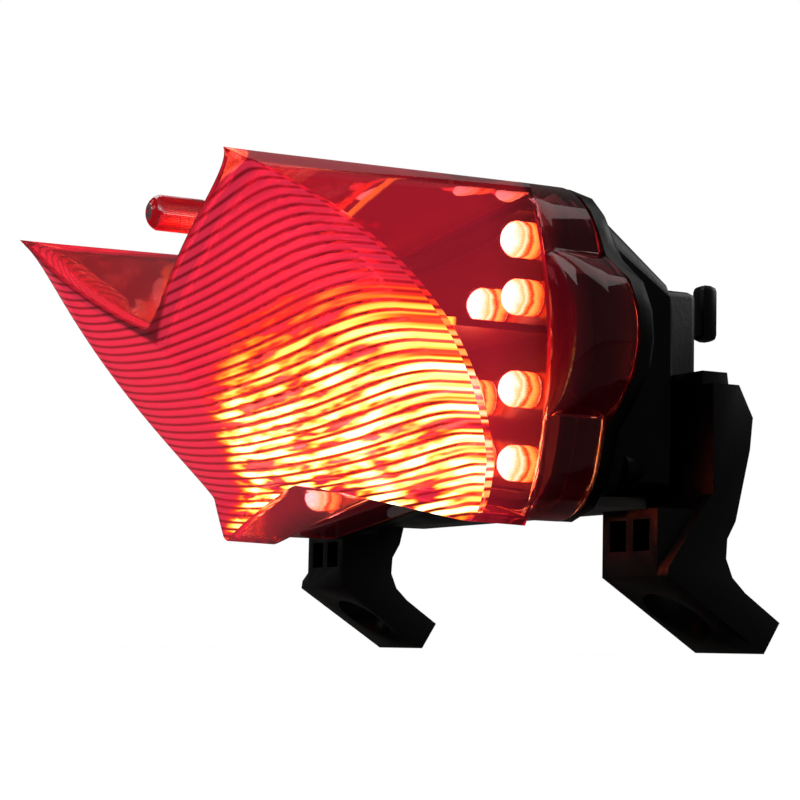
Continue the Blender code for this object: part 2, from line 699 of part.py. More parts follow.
def make_screws():
    for n, (x, z) in enumerate(board_screw_places(), 1):
        make_screw(f"board_screw_{n}", (x, CARRIER_REAR - 0.3 * MM, z), 11.0 * MM, False)
    for side, name in ((-1, "left"), (1, "right")):
        for n, (x, z) in enumerate(LEG_SCREWS, 1):
            make_screw(f"{name}_leg_screw_{n}", (side * x, REAR + 91.3 * MM, z), 11.0 * MM, True)


clear_scene()
PARTS = collection("tail_light")
HELPERS = collection("cutters", helper=True)
RED_LENS = material("red lens", (0.62, 0.008, 0.02), 0.06, transmission=0.9)
BLACK_ABS = material("black ABS", (0.012, 0.006, 0.007), 0.42)
SEAL_RUBBER = material("seal rubber", (0.015, 0.015, 0.015), 0.8)
WHITE_PLASTIC = material("white reflector plastic", (0.75, 0.72, 0.7), 0.35)
GREEN_BOARD = material("circuit board", (0.02, 0.16, 0.06), 0.45)
LED_RESIN = material("lit LED", (1.0, 0.55, 0.2), 0.1, glow=4.0)
RESISTOR_BLUE = material("resistor coating", (0.1, 0.32, 0.5), 0.4)
ZINC = material("zinc plated steel", (0.62, 0.62, 0.6), 0.32, metallic=1.0)

make_lens()
make_seal()
make_housing()
make_inlet()
make_leg("left_leg", -1)
make_leg("right_leg", 1)
make_carrier()
make_board()
make_leds()
make_resistors()
make_screws()
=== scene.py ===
"""Looks of an LED tail light for a motorcycle: fluted red lens, black housing, two mounting legs, lit LEDs.

Frame: X across the bike, Y towards its front, Z up, in metres. The lens shines towards -Y.
"""
import math

import bmesh
import bpy
import numpy as np
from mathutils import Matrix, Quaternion, Vector


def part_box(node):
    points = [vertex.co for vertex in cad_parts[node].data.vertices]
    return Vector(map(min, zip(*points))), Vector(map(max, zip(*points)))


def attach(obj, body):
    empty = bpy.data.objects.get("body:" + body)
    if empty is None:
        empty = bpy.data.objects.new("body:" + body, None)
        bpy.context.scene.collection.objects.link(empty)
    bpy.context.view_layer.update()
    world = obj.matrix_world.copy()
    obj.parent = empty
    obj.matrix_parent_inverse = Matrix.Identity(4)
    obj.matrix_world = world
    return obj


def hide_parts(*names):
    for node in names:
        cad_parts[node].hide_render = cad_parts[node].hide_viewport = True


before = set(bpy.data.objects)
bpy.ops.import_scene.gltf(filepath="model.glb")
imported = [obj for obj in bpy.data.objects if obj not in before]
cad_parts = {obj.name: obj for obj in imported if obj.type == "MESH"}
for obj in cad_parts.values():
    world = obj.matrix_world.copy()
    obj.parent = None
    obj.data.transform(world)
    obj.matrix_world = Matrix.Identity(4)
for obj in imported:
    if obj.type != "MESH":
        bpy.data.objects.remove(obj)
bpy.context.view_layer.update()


# Camera: low behind the lamp's right side, looking slightly up at it, as a studio camera on a table edge.

camera_data = bpy.data.cameras.new("camera")
camera_data.lens = 103.5
camera_data.sensor_width = 36.0
camera_data.clip_start = 0.001
camera = bpy.data.objects.new("camera", camera_data)
bpy.context.scene.collection.objects.link(camera)
camera.location = (0.4, -0.1991, -0.0007)
CAMERA_AIM = Vector((0.048, -0.0139, 0.0427))
CAMERA_ROLL = math.radians(1.15)
level = (CAMERA_AIM - camera.location).to_track_quat("-Z", "Y")
camera.rotation_mode = "QUATERNION"
camera.rotation_quaternion = level @ Quaternion((0, 0, 1), CAMERA_ROLL)
bpy.context.scene.camera = camera


# Floor and studio: white paper under the soles, a white surround and three large soft lamps.
# The tail light is lit by its own LEDs, so the studio light on it is dim, and the paper and the surround
# are bright only where the camera sees them.

MM = 0.001
FLOOR_DROP = 1.2 * MM
FLOOR_SIZE = 12.0


def hex_colour(code):
    """An sRGB hex colour as linear RGBA."""
    channels = [int(code[n:n + 2], 16) / 255 for n in (1, 3, 5)]
    return (*[c / 12.92 if c <= 0.04045 else ((c + 0.055) / 1.055) ** 2.4 for c in channels], 1.0)


def add_node(tree, kind, settings, links):
    """Adds a node, sets its properties and sockets by name, and links sockets to what feeds them."""
    node = tree.nodes.new(kind)
    for key, value in settings.items():
        if key == "stops":
            ramp = node.color_ramp.elements
            while len(ramp) < len(value):
                ramp.new(0.5)
            for stop, (place, code) in zip(ramp, value):
                stop.position = place
                stop.color = hex_colour(code)
        elif isinstance(key, str) and hasattr(node, key):
            setattr(node, key, value)
        else:
            node.inputs[key].default_value = value
    for key, source in links.items():
        tree.links.new(source, node.inputs[key])
    return node


def new_material(name, shader_settings):
    """A material with one Principled shader, and the tree and shader to build on."""
    made = bpy.data.materials.new(name)
    made.use_nodes = True
    shader = made.node_tree.nodes["Principled BSDF"]
    for key, value in shader_settings.items():
        shader.inputs[key].default_value = value
    return made, made.node_tree, shader


def fine_grain(tree, shader, size, detail, strength, height):
    """Bumps of a size on the surface. Gives the Object coordinates, for what else reads them."""
    coords = add_node(tree, "ShaderNodeTexCoord", {}, {}).outputs["Object"]
    grain = add_node(tree, "ShaderNodeTexNoise", {"Scale": 1 / size, "Detail": detail}, {"Vector": coords})
    bump = add_node(
        tree, "ShaderNodeBump", {"Strength": strength, "Distance": height}, {"Height": grain.outputs["Fac"]}
    )
    tree.links.new(bump.outputs["Normal"], shader.inputs["Normal"])
    return coords


def deselect():
    bpy.ops.object.select_all(action="DESELECT")


bpy.context.scene.view_settings.view_transform = "Standard"
deselect()
bpy.ops.mesh.primitive_plane_add(size=FLOOR_SIZE, location=(0, 0, -FLOOR_DROP))
floor = bpy.context.object
floor.name = "floor"
paper, tree, shader = new_material(
    "matt white paper",
    {
        "Base Color": hex_colour("#5A5856"),
        "Roughness": 0.9,
        "Emission Color": hex_colour("#FAFAFA"),
    },
)
fine_grain(tree, shader, 1.11 * MM, 3.0, 0.05, 0.2 * MM)
path = add_node(tree, "ShaderNodeLightPath", {}, {})
tree.links.new(path.outputs["Is Camera Ray"], shader.inputs["Emission Strength"])
floor.data.materials.append(paper)

for name, place, size, watts in (
    ("overhead", (0.1, 0.2, 1.5), 1.3, 4.0),
    ("key", (-0.3, -1.1, 1.2), 0.8, 3.0),
    ("back", (0.2, 1.3, 0.9), 0.8, 5.0),
):
    lamp_data = bpy.data.lights.new(name, "AREA")
    lamp_data.size = size
    lamp_data.energy = watts
    lamp = bpy.data.objects.new(name, lamp_data)
    bpy.context.scene.collection.objects.link(lamp)
    lamp.location = place
    lamp.rotation_mode = "QUATERNION"
    lamp.rotation_quaternion = (-Vector(place)).to_track_quat("-Z", "Y")

world = bpy.data.worlds.new("studio")
world.use_nodes = True
bpy.context.scene.world = world
tree = world.node_tree
tree.nodes.clear()
path = add_node(tree, "ShaderNodeLightPath", {}, {})
dim = add_node(tree, "ShaderNodeBackground", {"Color": hex_colour("#FFFFFF"), "Strength": 0.06}, {})
white = add_node(tree, "ShaderNodeBackground", {"Color": hex_colour("#FFFFFF"), "Strength": 1.0}, {})
seen = add_node(
    tree,
    "ShaderNodeMixShader",
    {},
    {0: path.outputs["Is Camera Ray"], 1: dim.outputs["Background"], 2: white.outputs["Background"]},
)
add_node(tree, "ShaderNodeOutputWorld", {}, {"Surface": seen.outputs["Shader"]})


# Lens: one injection moulding in clear red polycarbonate, with flutes on the inside of its raked rear face.
# Its edges are rounded, its skirt steps out over the housing and bulges at each side.
# It is made from a grid whose border is drawn forward row by row, once for each side of the wall.

REAR = -52.0 * MM
WALL = 2.2 * MM
RAKE_WALL = 3.0 * MM
HORN_HEIGHT = 82.6 * MM
HORN_HALF_WIDTH = 52.8 * MM
DECK_RISE = 0.5 * MM
NOTCH_HEIGHT = 58.0 * MM
CREASE_FRONT_HEIGHT = 78.0 * MM
CREASE_REAR = REAR + 8.5 * MM
DECK_ROUNDING = 0.02
BELLY_HALF_WIDTH = 60.5 * MM
BELLY_HEIGHT = 52.0 * MM
FLOOR_RIDGE = (31.4 * MM, 30.0 * MM)
FLOOR_EDGE = (22.9 * MM, 21.4 * MM)
FLOOR_ROUNDING = 0.05
BOW = 0.125
RAKE_SLOPE = 0.411
RAKE_CURVE = 9.46
FOOT_SLOPE = 0.12
CORNER_SWEEP = 19.0 * MM
CORNER_FOOT_SWEEP = 3.0 * MM
CORNER_SHARPNESS = 3.2
SWEEP_SKEW = 0.85
SWEEP_FULLNESS = 0.9
EDGE_RADIUS = 1.1 * MM
LEAST_RADIUS = 0.4 * MM
CORNER_EASING = 0.006
CORNER_EASING_POWER = 30

SKIRT_REAR = REAR + 61.0 * MM
SKIRT_FRONT = REAR + 72.0 * MM
SKIRT_STEP = 1.6 * MM
SKIRT_TOP_STEP = 2.6 * MM
SKIRT_FOOT = (28.3 * MM, 22.0 * MM)
SKIRT_TOP_RADIUS = 12.0 * MM
SKIRT_FOOT_RADIUS = 10.0 * MM
SKIRT_WALL = 2.0 * MM
SKIRT_LIP = 0.5 * MM
LIP_TUCK = 0.006
SHOULDER = 1.8 * MM
LOBE_SHOULDER = 4.6 * MM
INNER_EASING = 0.6
LOBE_REACH = 9.6 * MM
LOBE_HEIGHT = 55.5 * MM
LOBE_HALF_HEIGHT = 14.5 * MM
LOBE_SQUARENESS = 2.4
LOBE_FULLNESS = 0.75

FLUTE_PITCH = 1.4 * MM
FLUTE_DEPTH = 0.75 * MM
FLUTE_BORDER = 1.0 * MM
FLUTE_FOOT = 31.0 * MM
FLUTE_FOOT_RISE = 1.1 * MM
FLUTE_FOOT_FALL = 5.1 * MM
FLUTE_FLOOR_GAP = 1.2 * MM
FLUTE_REACH = 0.968
FLUTE_SCALLOP = 0.022
FAN_HALF_WIDTH = 57.0 * MM
FAN_STRAIGHT = 0.41
FAN_CURVED = 0.59
FAN_DROP = 0.7 * MM
FAN_WIDENING = 0.153

ACROSS = 100
UP = 200
BODY_ROWS = 12
SHOULDER_ROWS = 7


def side_width(z):
    """Half the width of the lens at a height: a shallow barrel, narrowest at the horns."""
    swell = BELLY_HALF_WIDTH - HORN_HALF_WIDTH
    return BELLY_HALF_WIDTH - swell * ((z - BELLY_HEIGHT) / (HORN_HEIGHT - BELLY_HEIGHT)) ** 2


def v_shape(u, rounding):
    """0 on the centre line, 1 at the sides, with a rounded bottom."""
    return (np.hypot(u, rounding) - rounding) / (math.hypot(1.0, rounding) - rounding)


def deck_height(u, y):
    """The top of the lens at u of its half width: a V whose floor rises towards the front."""
    run = np.clip((y - CREASE_REAR) / (SKIRT_REAR - CREASE_REAR), 0.0, 1.0)
    crease = NOTCH_HEIGHT + (CREASE_FRONT_HEIGHT - NOTCH_HEIGHT) * run
    edge = HORN_HEIGHT + DECK_RISE * run
    return crease + (edge - crease) * v_shape(u, DECK_ROUNDING)


def floor_height(u, y):
    """The underside of the lens: a shallow roof with its ridge along the middle."""
    run = np.clip((y - CREASE_REAR) / (SKIRT_REAR - CREASE_REAR), 0.0, 1.0)
    ridge = FLOOR_RIDGE[0] + (FLOOR_RIDGE[1] - FLOOR_RIDGE[0]) * run
    edge = FLOOR_EDGE[0] + (FLOOR_EDGE[1] - FLOOR_EDGE[0]) * run
    return ridge + (edge - ridge) * v_shape(u, FLOOR_ROUNDING)


def rear_depth(u, z):
    """The raked rear face: bowed across, its side corners swept forward, upright below the flutes."""
    fall = HORN_HEIGHT - np.maximum(z, FLUTE_FOOT)
    middle = REAR - BOW * HORN_HALF_WIDTH + RAKE_SLOPE * fall + RAKE_CURVE * fall**2
    below = np.maximum(FLUTE_FOOT - z, 0.0)
    drop = np.clip((HORN_HEIGHT - z) / (HORN_HEIGHT - FLUTE_FOOT), 0.0, 1.0)
    sweep = CORNER_SWEEP * np.sin(np.pi * drop**SWEEP_SKEW) ** SWEEP_FULLNESS + CORNER_FOOT_SWEEP * drop
    swept = 1 - (1 - np.minimum(np.abs(u), 1.0) ** CORNER_SHARPNESS) ** (1 / CORNER_SHARPNESS)
    return middle + FOOT_SLOPE * below + BOW * np.abs(u) * HORN_HALF_WIDTH + sweep * swept


def lobe(z):
    """The bulge of the skirt on each side."""
    across = (z - LOBE_HEIGHT) / LOBE_HALF_HEIGHT
    return LOBE_REACH * np.maximum(1 - np.abs(across) ** LOBE_SQUARENESS, 0.0) ** LOBE_FULLNESS


def flute_phase(x, z):
    """Counts flutes upwards: they fan out a little from the middle to the sides."""
    spread = np.abs(x) / FAN_HALF_WIDTH
    spread = FAN_STRAIGHT * spread + FAN_CURVED * spread**3
    return (z + FAN_DROP * spread) / (1 + FAN_WIDENING * spread) / FLUTE_PITCH


def round_corners(u, w, inset):
    """Moves points on the border of the square from -1 to 1 onto a rectangle with round corners."""
    half_height = (HORN_HEIGHT - SKIRT_FOOT[1]) / 2
    radius = np.where(w > 0, SKIRT_TOP_RADIUS, SKIRT_FOOT_RADIUS) - inset * INNER_EASING
    from_side, from_top = (1 - np.abs(u)) * BELLY_HALF_WIDTH, (1 - np.abs(w)) * half_height
    turn = math.pi / 4 * (1 + (from_side - from_top) / radius)
    near = np.maximum(from_side, from_top) < radius
    u = np.where(near, np.sign(u) * (1 - radius * (1 - np.cos(turn)) / BELLY_HALF_WIDTH), u)
    w = np.where(near, np.sign(w) * (1 - radius * (1 - np.sin(turn)) / half_height), w)
    return u, w


def lens_cage(name):
    """A grid from -1 to 1 whose border is extruded row by row along Z."""
    deselect()
    bpy.ops.mesh.primitive_grid_add(x_subdivisions=ACROSS, y_subdivisions=UP, size=2)
    cage = bpy.context.object
    cage.name = name
    bpy.ops.object.mode_set(mode="EDIT")
    bpy.ops.mesh.select_mode(type="EDGE")
    bpy.ops.mesh.select_all(action="SELECT")
    bpy.ops.mesh.region_to_loop()
    for _ in range(BODY_ROWS + SHOULDER_ROWS + 2):
        bpy.ops.mesh.extrude_region_move(TRANSFORM_OT_translate={"value": (0, 0, 1)})
    bpy.ops.object.mode_set(mode="OBJECT")
    return cage


def crowd(t):
    """Moves grid lines towards the border, where the edge is rounded."""
    return np.sign(t) * (1 - (1 - np.abs(t)) ** 1.25)


def shape_cage(cage, wall, rake_wall, skirt_wall, fluted):
    """Moves the cage's points onto one side of the lens wall, and tells which are on the rear face."""
    count = len(cage.data.vertices)
    points = np.empty(count * 3, np.float32)
    cage.data.vertices.foreach_get("co", points)
    square_u, square_w, row = points.reshape(-1, 3).T.astype(float)
    row = np.round(row)
    face = row == 0
    square_u, square_w = crowd(square_u), crowd(square_w)
    pull = 1 - CORNER_EASING * np.abs(square_u * square_w) ** CORNER_EASING_POWER
    u, w = square_u * pull, square_w * pull

    # The body. Deck and floor change with the depth and the rear face with the height: they settle in turns.
    run = (1 - np.cos(math.pi * np.clip(row / BODY_ROWS, 0.0, 1.0))) / 2
    radius = max(EDGE_RADIUS - wall, LEAST_RADIUS)
    y = np.full(count, (REAR + SKIRT_REAR) / 2)
    for _ in range(8):
        low, high = floor_height(u, y) + wall, deck_height(u, y) - wall
        z = low + (high - low) * (w + 1) / 2
        start = rear_depth(u, z) + rake_wall + radius
        y = start + (SKIRT_REAR - start) * run
    x = u * (side_width(z) - wall)

    # The rounded edge of the rear face, and the flutes on it.
    inward = np.minimum((1 - np.abs(u)) * side_width(z), (1 - np.abs(w)) * (high - low) / 2)
    crown = radius - np.sqrt(np.maximum(radius**2 - np.maximum(radius - inward, 0.0) ** 2, 0.0))
    y = np.where(face, y - radius + crown, y)
    if fluted:
        phase = flute_phase(x, z)
        bulge = 1 - (2 * (phase % 1.0) - 1) ** 2
        top = deck_height(u, y) - wall - FLUTE_BORDER
        foot = FLUTE_FOOT + FLUTE_FOOT_RISE - FLUTE_FOOT_FALL * np.abs(x) / HORN_HALF_WIDTH
        foot = np.maximum(foot, low + FLUTE_FLOOR_GAP)
        reach = FLUTE_REACH + FLUTE_SCALLOP * np.sqrt(bulge)
        inside = (z < top) & (z > foot) & (np.abs(u) < reach) & face
        y = np.where(inside, y + FLUTE_DEPTH * bulge, y)

    # The shoulder, which turns a quarter circle outwards, and the skirt with its lobes and its lip.
    step = np.clip((row - BODY_ROWS) / SHOULDER_ROWS, 0.0, 1.0)
    turn = step * math.pi / 2
    round_u, round_w = round_corners(square_u, square_w, skirt_wall)
    slope = v_shape(round_u, FLOOR_ROUNDING)
    rim_low = SKIRT_FOOT[0] + (SKIRT_FOOT[1] - SKIRT_FOOT[0]) * slope + skirt_wall
    rim_high = deck_height(round_u, SKIRT_REAR) + SKIRT_TOP_STEP - skirt_wall
    rim_z = rim_low + (rim_high - rim_low) * (round_w + 1) / 2
    bulge = lobe(rim_z)
    rim_x = round_u * (side_width(rim_z) + SKIRT_STEP + bulge - skirt_wall)
    shoulder = SHOULDER + skirt_wall * INNER_EASING + LOBE_SHOULDER * bulge / LOBE_REACH
    out = np.sin(turn)
    skirt = row > BODY_ROWS
    x = np.where(skirt, x + (rim_x - x) * out, x)
    z = np.where(skirt, z + (rim_z - z) * out, z)
    y = np.where(skirt, SKIRT_REAR + shoulder * (1 - np.cos(turn)), y)
    last = row - BODY_ROWS - SHOULDER_ROWS
    y = np.where(last == 1, SKIRT_FRONT - SKIRT_LIP, y)
    y = np.where(last == 2, SKIRT_FRONT, y)
    tuck = 1 - LIP_TUCK * (last == 2) * (1 if skirt_wall == 0 else -1)
    x, z = x * tuck, (z - BELLY_HEIGHT) * tuck + BELLY_HEIGHT
    cage.data.vertices.foreach_set("co", np.stack([x, y, z], 1).astype(np.float32).ravel())
    cage.data.update()
    return face


def join(base, *others):
    """Joins pieces into the first one."""
    deselect()
    for piece in (base, *others):
        piece.select_set(True)
    bpy.context.view_layer.objects.active = base
    bpy.ops.object.join()
    return base


outer = lens_cage("lens_shell")
shape_cage(outer, 0.0, 0.0, 0.0, False)
inner = lens_cage("lens_inner")
face = shape_cage(inner, WALL, RAKE_WALL, SKIRT_WALL, True)
on_face = [int(all(face[n] for n in polygon.vertices)) for polygon in inner.data.polygons]
lens = join(outer, inner)

# The front lip joins each border point of the outer side to the same point of the inner side.
shell = bmesh.new()
shell.from_mesh(lens.data)
shell.verts.ensure_lookup_table()
half = len(shell.verts) // 2
for edge in [edge for edge in shell.edges if edge.is_boundary and edge.verts[0].index < half]:
    near, far = (vert.index for vert in edge.verts)
    shell.faces.new([shell.verts[n] for n in (near, far, far + half, near + half)])
bmesh.ops.recalc_face_normals(shell, faces=shell.faces[:])
shell.to_mesh(lens.data)
shell.free()
bpy.ops.object.shade_smooth_by_angle(angle=math.radians(35))
lens.name = lens.data.name = "lens_moulding"

# The locating peg and the fin that carries it are part of the same moulding.
PEG_RADIUS = 2.7 * MM
PEG_END_RADIUS = 2.2 * MM
PEG_LENGTH = 13.0 * MM
PEG_REAR = REAR + 8.8 * MM
PEG_HEIGHT = 80.6 * MM
FIN_THICKNESS = 2.4 * MM
FIN_SETBACK = 9.0 * MM
FIN_PROUD = 1.2 * MM
FIN_FRONT = SKIRT_REAR + 1.8 * MM
FIN_FRONT_FOOT = CREASE_FRONT_HEIGHT - 0.9 * MM
FIN_REAR_FOOT = NOTCH_HEIGHT + 1.6 * MM


def rod(sides, radius, rear, front, height):
    """A cylinder along Y."""
    deselect()
    bpy.ops.mesh.primitive_cylinder_add(
        vertices=sides,
        radius=radius,
        depth=front - rear,
        location=(0, (rear + front) / 2, height),
        rotation=(math.pi / 2, 0, 0),
    )
    bpy.ops.object.transform_apply(location=True, rotation=True, scale=True)
    return bpy.context.object


def round_rear_end(piece, radius, segments):
    for polygon in piece.data.polygons:
        polygon.select = polygon.normal.y < -0.9
    bpy.ops.object.mode_set(mode="EDIT")
    bpy.ops.mesh.select_mode(type="FACE")
    bpy.ops.mesh.bevel(offset=radius, segments=segments, profile=0.5, affect="EDGES")
    bpy.ops.object.mode_set(mode="OBJECT")


def round_edges(radius):
    """Rounds all edges of the active piece."""
    bpy.ops.object.mode_set(mode="EDIT")
    bpy.ops.mesh.select_all(action="SELECT")
    bpy.ops.mesh.bevel(offset=radius, segments=3, profile=0.5, affect="EDGES")
    bpy.ops.object.mode_set(mode="OBJECT")


peg = rod(64, PEG_RADIUS, PEG_REAR, PEG_REAR + PEG_LENGTH, PEG_HEIGHT)
round_rear_end(peg, PEG_END_RADIUS, 6)
bpy.ops.object.shade_smooth_by_angle(angle=math.radians(40))
deselect()
bpy.ops.mesh.primitive_cube_add(size=1.0)
fin = bpy.context.object
for vert in fin.data.vertices:
    front = vert.co.y > 0
    vert.co = (
        math.copysign(FIN_THICKNESS / 2, vert.co.x),
        FIN_FRONT if front else PEG_REAR + FIN_SETBACK,
        PEG_HEIGHT + FIN_PROUD if vert.co.z > 0 else FIN_FRONT_FOOT if front else FIN_REAR_FOOT,
    )
round_edges(0.6 * MM)
bpy.ops.object.shade_smooth_by_angle(angle=math.radians(40))

# Clear red polycarbonate: glossy and tinted, with faint flow marks. The LEDs' light inside it is a painted
# crimson glow, which fades towards the unlit skirt, with painted shade where the wall is seen edge on above
# the V of the notch.
GLOW_END = SKIRT_REAR + 3.0 * MM
GLOW_FADE = 14.0 * MM
NOTCH_EDGE = 2.2 * MM


def painted_notch_shade(tree, side, height, border, dark):
    """Painted shade at the notch: 1 below the V of the notch, falling to the dark value from the border to
    the notch's edge.
    """
    over = add_node(
        tree,
        "ShaderNodeMath",
        {"operation": "MULTIPLY_ADD", 1: (NOTCH_HEIGHT - HORN_HEIGHT) / HORN_HALF_WIDTH},
        {0: side, 2: height},
    )
    return add_node(
        tree,
        "ShaderNodeMapRange",
        {
            "From Min": NOTCH_HEIGHT - border,
            "From Max": NOTCH_HEIGHT - NOTCH_EDGE,
            "To Min": 1.0,
            "To Max": dark,
        },
        {"Value": over.outputs["Value"]},
    )


red_clear, tree, shader = new_material(
    "clear red polycarbonate with painted glow",
    {
        "Base Color": hex_colour("#EE6C70"),
        "Roughness": 0.03,
        "IOR": 1.58,
        "Transmission Weight": 1.0,
        "Emission Color": hex_colour("#E02848"),
    },
)
coords = fine_grain(tree, shader, 6.25 * MM, 2.0, 0.08, 0.3 * MM)
split = add_node(tree, "ShaderNodeSeparateXYZ", {}, {"Vector": coords})
side = add_node(tree, "ShaderNodeMath", {"operation": "ABSOLUTE"}, {0: split.outputs["X"]})
# Painted glow: the LEDs' light on the lens, strongest at the rear and fading to almost none at the skirt.
painted_light_fade = add_node(
    tree,
    "ShaderNodeMapRange",
    {"From Min": GLOW_END, "From Max": GLOW_END - GLOW_FADE, "To Min": 0.006, "To Max": 0.17},
    {"Value": split.outputs["Y"]},
)
# Painted shade near the edge above the V of the notch.
edge = painted_notch_shade(tree, side.outputs["Value"], split.outputs["Z"], 3.4 * MM, 0.3)
painted_lens_glow = add_node(
    tree,
    "ShaderNodeMath",
    {"operation": "MULTIPLY"},
    {0: painted_light_fade.outputs["Result"], 1: edge.outputs["Result"]},
)
tree.links.new(painted_lens_glow.outputs["Value"], shader.inputs["Emission Strength"])

# The fluted face is the same plastic, with the LEDs' light caught in its ribs painted on: a painted crimson
# glow all over, with painted dashes of yellow-white light on the ribs in front of the near LEDs.
DASH_LENGTH = 12.5 * MM
DASH_RIBS = 1.25
BEAM_TOP = 57.0 * MM
BEAM_FULL = 38.0 * MM
BEAM_SLANT = 2.2
BEAM_FAR_EDGE = -104.0 * MM
BEAM_NEAR_EDGE = -86.0 * MM


def set_glow(tree, shader, spill, strength, pattern=None):
    """Sets how strongly a piece glows. Light that it throws on other pieces is weaker, by the spill."""
    path = add_node(tree, "ShaderNodeLightPath", {}, {})
    total = add_node(
        tree,
        "ShaderNodeMath",
        {"operation": "MULTIPLY_ADD", 1: strength * (spill - 1), 2: strength},
        {0: path.outputs["Is Diffuse Ray"]},
    )
    if pattern is not None:
        total = add_node(
            tree, "ShaderNodeMath", {"operation": "MULTIPLY"}, {0: pattern, 1: total.outputs["Value"]}
        )
    tree.links.new(total.outputs["Value"], shader.inputs["Emission Strength"])


red_flutes, tree, shader = new_material(
    "fluted red polycarbonate with painted rib light and shade",
    {
        "Base Color": hex_colour("#B81C30"),
        "Roughness": 0.12,
        "IOR": 1.58,
        "Transmission Weight": 0.6,
    },
)
coords = add_node(tree, "ShaderNodeTexCoord", {}, {})
split = add_node(tree, "ShaderNodeSeparateXYZ", {}, {"Vector": coords.outputs["Object"]})
side = add_node(tree, "ShaderNodeMath", {"operation": "ABSOLUTE"}, {0: split.outputs["X"]})

# The count of flutes, as in flute_phase.
spread = add_node(
    tree, "ShaderNodeMath", {"operation": "DIVIDE", 1: FAN_HALF_WIDTH}, {0: side.outputs["Value"]}
)
cube = add_node(tree, "ShaderNodeMath", {"operation": "POWER", 1: 3.0}, {0: spread.outputs["Value"]})
curved = add_node(
    tree, "ShaderNodeMath", {"operation": "MULTIPLY", 1: FAN_CURVED}, {0: cube.outputs["Value"]}
)
fan = add_node(
    tree,
    "ShaderNodeMath",
    {"operation": "MULTIPLY_ADD", 1: FAN_STRAIGHT},
    {0: spread.outputs["Value"], 2: curved.outputs["Value"]},
)
raised = add_node(
    tree,
    "ShaderNodeMath",
    {"operation": "MULTIPLY_ADD", 1: FAN_DROP},
    {0: fan.outputs["Value"], 2: split.outputs["Z"]},
)
widened = add_node(
    tree, "ShaderNodeMath", {"operation": "MULTIPLY_ADD", 1: FAN_WIDENING, 2: 1.0}, {0: fan.outputs["Value"]}
)
middle_height = add_node(
    tree,
    "ShaderNodeMath",
    {"operation": "DIVIDE"},
    {0: raised.outputs["Value"], 1: widened.outputs["Value"]},
)
phase = add_node(
    tree, "ShaderNodeMath", {"operation": "DIVIDE", 1: FLUTE_PITCH}, {0: middle_height.outputs["Value"]}
)

# Painted shade in the groove, painted light on the rib.
from_groove = add_node(
    tree, "ShaderNodeMath", {"operation": "PINGPONG", 1: 0.5}, {0: phase.outputs["Value"]}
)
painted_rib_shading = add_node(
    tree,
    "ShaderNodeMapRange",
    {"interpolation_type": "SMOOTHSTEP", "From Min": 0.03, "From Max": 0.3},
    {"Value": from_groove.outputs["Value"]},
)

# Painted dashes of light along the ribs.
lay = add_node(
    tree, "ShaderNodeCombineXYZ", {}, {"X": split.outputs["X"], "Y": phase.outputs["Value"]}
)
stretch = add_node(
    tree,
    "ShaderNodeMapping",
    {"Scale": (1 / DASH_LENGTH, 1 / DASH_RIBS, 1.0)},
    {"Vector": lay.outputs["Vector"]},
)
patches = add_node(
    tree, "ShaderNodeTexNoise", {"Scale": 1.0, "Detail": 2.0}, {"Vector": stretch.outputs["Vector"]}
)
painted_dashes = add_node(
    tree, "ShaderNodeMapRange", {"From Min": 0.38, "From Max": 0.64}, {"Value": patches.outputs["Fac"]}
)

# The painted beam of LED light: strongest low on the face, fading upwards and, along a slanting edge,
# towards the far side.
high = add_node(
    tree,
    "ShaderNodeMapRange",
    {"interpolation_type": "SMOOTHSTEP", "From Min": BEAM_TOP, "From Max": BEAM_FULL},
    {"Value": middle_height.outputs["Value"]},
)
slant = add_node(
    tree,
    "ShaderNodeMath",
    {"operation": "MULTIPLY_ADD", 1: -BEAM_SLANT},
    {0: split.outputs["Z"], 2: split.outputs["X"]},
)
wide = add_node(
    tree,
    "ShaderNodeMapRange",
    {"interpolation_type": "SMOOTHSTEP", "From Min": BEAM_FAR_EDGE, "From Max": BEAM_NEAR_EDGE},
    {"Value": slant.outputs["Value"]},
)
beam = add_node(
    tree, "ShaderNodeMath", {"operation": "MULTIPLY"}, {0: high.outputs["Result"], 1: wide.outputs["Result"]}
)
dashed = add_node(
    tree, "ShaderNodeMath", {"operation": "MULTIPLY"}, {0: beam.outputs["Value"], 1: painted_dashes.outputs["Result"]}
)
lit = add_node(
    tree, "ShaderNodeMath", {"operation": "MULTIPLY"}, {0: dashed.outputs["Value"], 1: painted_rib_shading.outputs["Result"]}
)
colour = add_node(
    tree,
    "ShaderNodeValToRGB",
    {"stops": [(0.0, "#E83050"), (0.06, "#FF3020"), (0.18, "#FF9420"), (0.4, "#FFD458"), (1.0, "#FFF4C8")]},
    {"Fac": lit.outputs["Value"]},
)
tree.links.new(colour.outputs["Color"], shader.inputs["Emission Color"])
# A painted crimson glow, weaker in the grooves than on the ribs.
painted_rib_glow = add_node(
    tree, "ShaderNodeMapRange", {"To Min": 0.12, "To Max": 0.66}, {"Value": painted_rib_shading.outputs["Result"]}
)
strength = add_node(
    tree,
    "ShaderNodeMath",
    {"operation": "MULTIPLY_ADD", 1: 2.6},
    {0: lit.outputs["Value"], 2: painted_rib_glow.outputs["Result"]},
)
# Painted shade near the edge above the V of the notch.
edge = painted_notch_shade(tree, side.outputs["Value"], split.outputs["Z"], 2.9 * MM, 0.22)
bordered = add_node(
    tree,
    "ShaderNodeMath",
    {"operation": "MULTIPLY"},
    {0: strength.outputs["Value"], 1: edge.outputs["Result"]},
)
set_glow(tree, shader, 0.12, 1.0, bordered.outputs["Value"])

